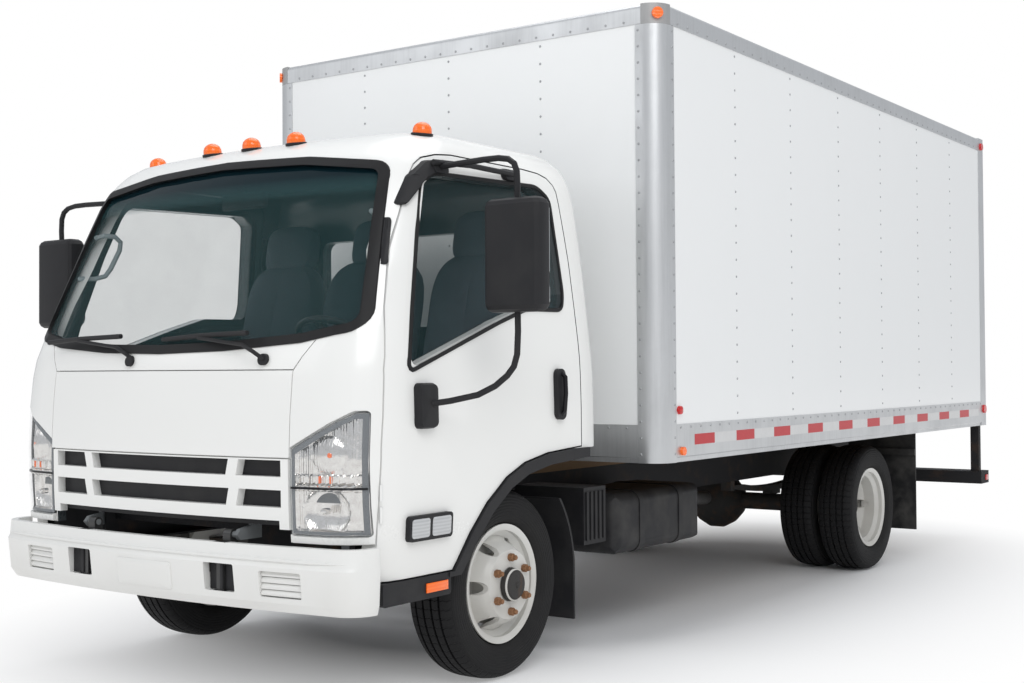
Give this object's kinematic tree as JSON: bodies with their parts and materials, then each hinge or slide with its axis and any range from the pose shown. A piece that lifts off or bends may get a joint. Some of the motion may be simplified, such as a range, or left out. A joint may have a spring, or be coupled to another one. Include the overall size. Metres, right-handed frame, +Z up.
{
  "type": "box truck",
  "caption": "Low cab-over delivery truck with a tilting cab, opening doors, steered front wheels, twin rear wheels and a riveted cargo box.",
  "frame": {"origin": "on the ground under the middle of the truck's overall box", "axes": "+X to the driver's side (left), +Y to the rear, +Z up; the cab faces -Y"},
  "size_m": [2.9366, 6.94, 2.95],
  "materials": {
    "white_paint": "gloss",
    "wheel_paint": "satin",
    "black_chassis": "satin",
    "black_plastic": "matte",
    "white_plastic": "satin",
    "aluminium": "satin",
    "steel": "dull",
    "cast": "rough",
    "tyre": "matte",
    "rubber": "matte",
    "glass": "clear",
    "lens": "clear",
    "reflector": "bright",
    "amber": "gloss",
    "red": "gloss",
    "trim": "matte",
    "fabric": "woven",
    "floor_wood": "oiled"
  },
  "bodies": {
    "chassis": {"frame_rails": "black_chassis", "front_axle": "cast", "rear_axle": "cast", "leaf_springs": "cast", "drive_shaft": "steel", "engine": "cast", "exhaust": "steel", "fuel_tank": "black_plastic", "battery_box": "black_plastic", "front_bumper": "white_plastic", "front_mudguards": "black_plastic", "rear_mudflaps": "rubber", "rear_bumper": "black_chassis", "box_floor": "floor_wood", "box_panels": "white_paint", "box_roof": "aluminium", "box_rear_frame": "aluminium", "box_rollup_door": "white_paint", "box_corner_posts": "aluminium", "box_corner_caps": "aluminium", "box_top_rails": "aluminium", "box_bottom_rails": "aluminium", "box_amber_lamps": "amber", "box_red_lamps": "red"},
    "cab": {"cab_shell": "white_paint", "cab_floor": "trim", "front_panel": "white_paint", "corner_panels": "white_paint", "grille": "white_plastic", "radiator_screen": "black_plastic", "headlamp_lenses": "lens", "headlamp_housings": "reflector", "cab_glass": "glass", "windscreen_seal": "rubber", "wipers": "black_plastic", "roof_lamps": "amber", "cab_steps": "black_plastic", "dashboard": "trim", "seats": "fabric"},
    "door_left": {"door_left": "white_paint", "door_glass_left": "glass", "door_trim_left": "black_plastic", "mirror_left": "black_plastic"},
    "door_right": {"door_right": "white_paint", "door_glass_right": "glass", "door_trim_right": "black_plastic", "mirror_right": "black_plastic"},
    "steering_wheel": {"steering_wheel": "black_plastic"},
    "knuckle_left": {"knuckle_left": "cast"},
    "knuckle_right": {"knuckle_right": "cast"},
    "front_wheel_left": {"wheel_front_left": "wheel_paint", "tyre_front_left": "tyre"},
    "front_wheel_right": {"wheel_front_right": "wheel_paint", "tyre_front_right": "tyre"},
    "rear_wheels_left": {"wheels_rear_left": "wheel_paint", "tyres_rear_left": "tyre"},
    "rear_wheels_right": {"wheels_rear_right": "wheel_paint", "tyres_rear_right": "tyre"}
  },
  "joints": [
    {"name": "cab_tilt", "type": "hinge", "parent": "chassis", "child": "cab", "pos_m": [0, -3.38, 0.66], "axis": [1, 0, 0], "range_deg": [0, 45]},
    {"name": "door_left_hinge", "type": "hinge", "parent": "cab", "child": "door_left", "pos_m": [1.008, -3.226, 1.2], "axis": [0, 0, -1], "range_deg": [0, 70]},
    {"name": "door_right_hinge", "type": "hinge", "parent": "cab", "child": "door_right", "pos_m": [-1.008, -3.226, 1.2], "axis": [0, 0, 1], "range_deg": [0, 70]},
    {"name": "steer_left", "type": "hinge", "parent": "chassis", "child": "knuckle_left", "pos_m": [0.715, -2.38, 0.39], "axis": [0, 0, 1], "range_deg": [-35, 35]},
    {"name": "steer_right", "type": "hinge", "parent": "chassis", "child": "knuckle_right", "pos_m": [-0.715, -2.38, 0.39], "axis": [0, 0, 1], "range_deg": [-35, 35]},
    {"name": "steering_wheel_turn", "type": "hinge", "parent": "cab", "child": "steering_wheel", "pos_m": [0.56, -2.91045, 1.35646], "axis": [0, 0.5736, 0.8192], "range_deg": [-560, 560]},
    {"name": "front_left_spin", "type": "hinge", "parent": "knuckle_left", "child": "front_wheel_left", "pos_m": [0.848, -2.38, 0.39], "axis": [1, 0, 0], "continuous": true},
    {"name": "front_right_spin", "type": "hinge", "parent": "knuckle_right", "child": "front_wheel_right", "pos_m": [-0.848, -2.38, 0.39], "axis": [1, 0, 0], "continuous": true},
    {"name": "rear_left_spin", "type": "hinge", "parent": "chassis", "child": "rear_wheels_left", "pos_m": [0.845, 1.43, 0.39], "axis": [1, 0, 0], "continuous": true},
    {"name": "rear_right_spin", "type": "hinge", "parent": "chassis", "child": "rear_wheels_right", "pos_m": [-0.845, 1.43, 0.39], "axis": [1, 0, 0], "continuous": true}
  ],
  "couplings": [
    {"joint": "steer_right", "follows": "steer_left", "ratio": 1},
    {"joint": "steering_wheel_turn", "follows": "steer_left", "ratio": 16}
  ]
}
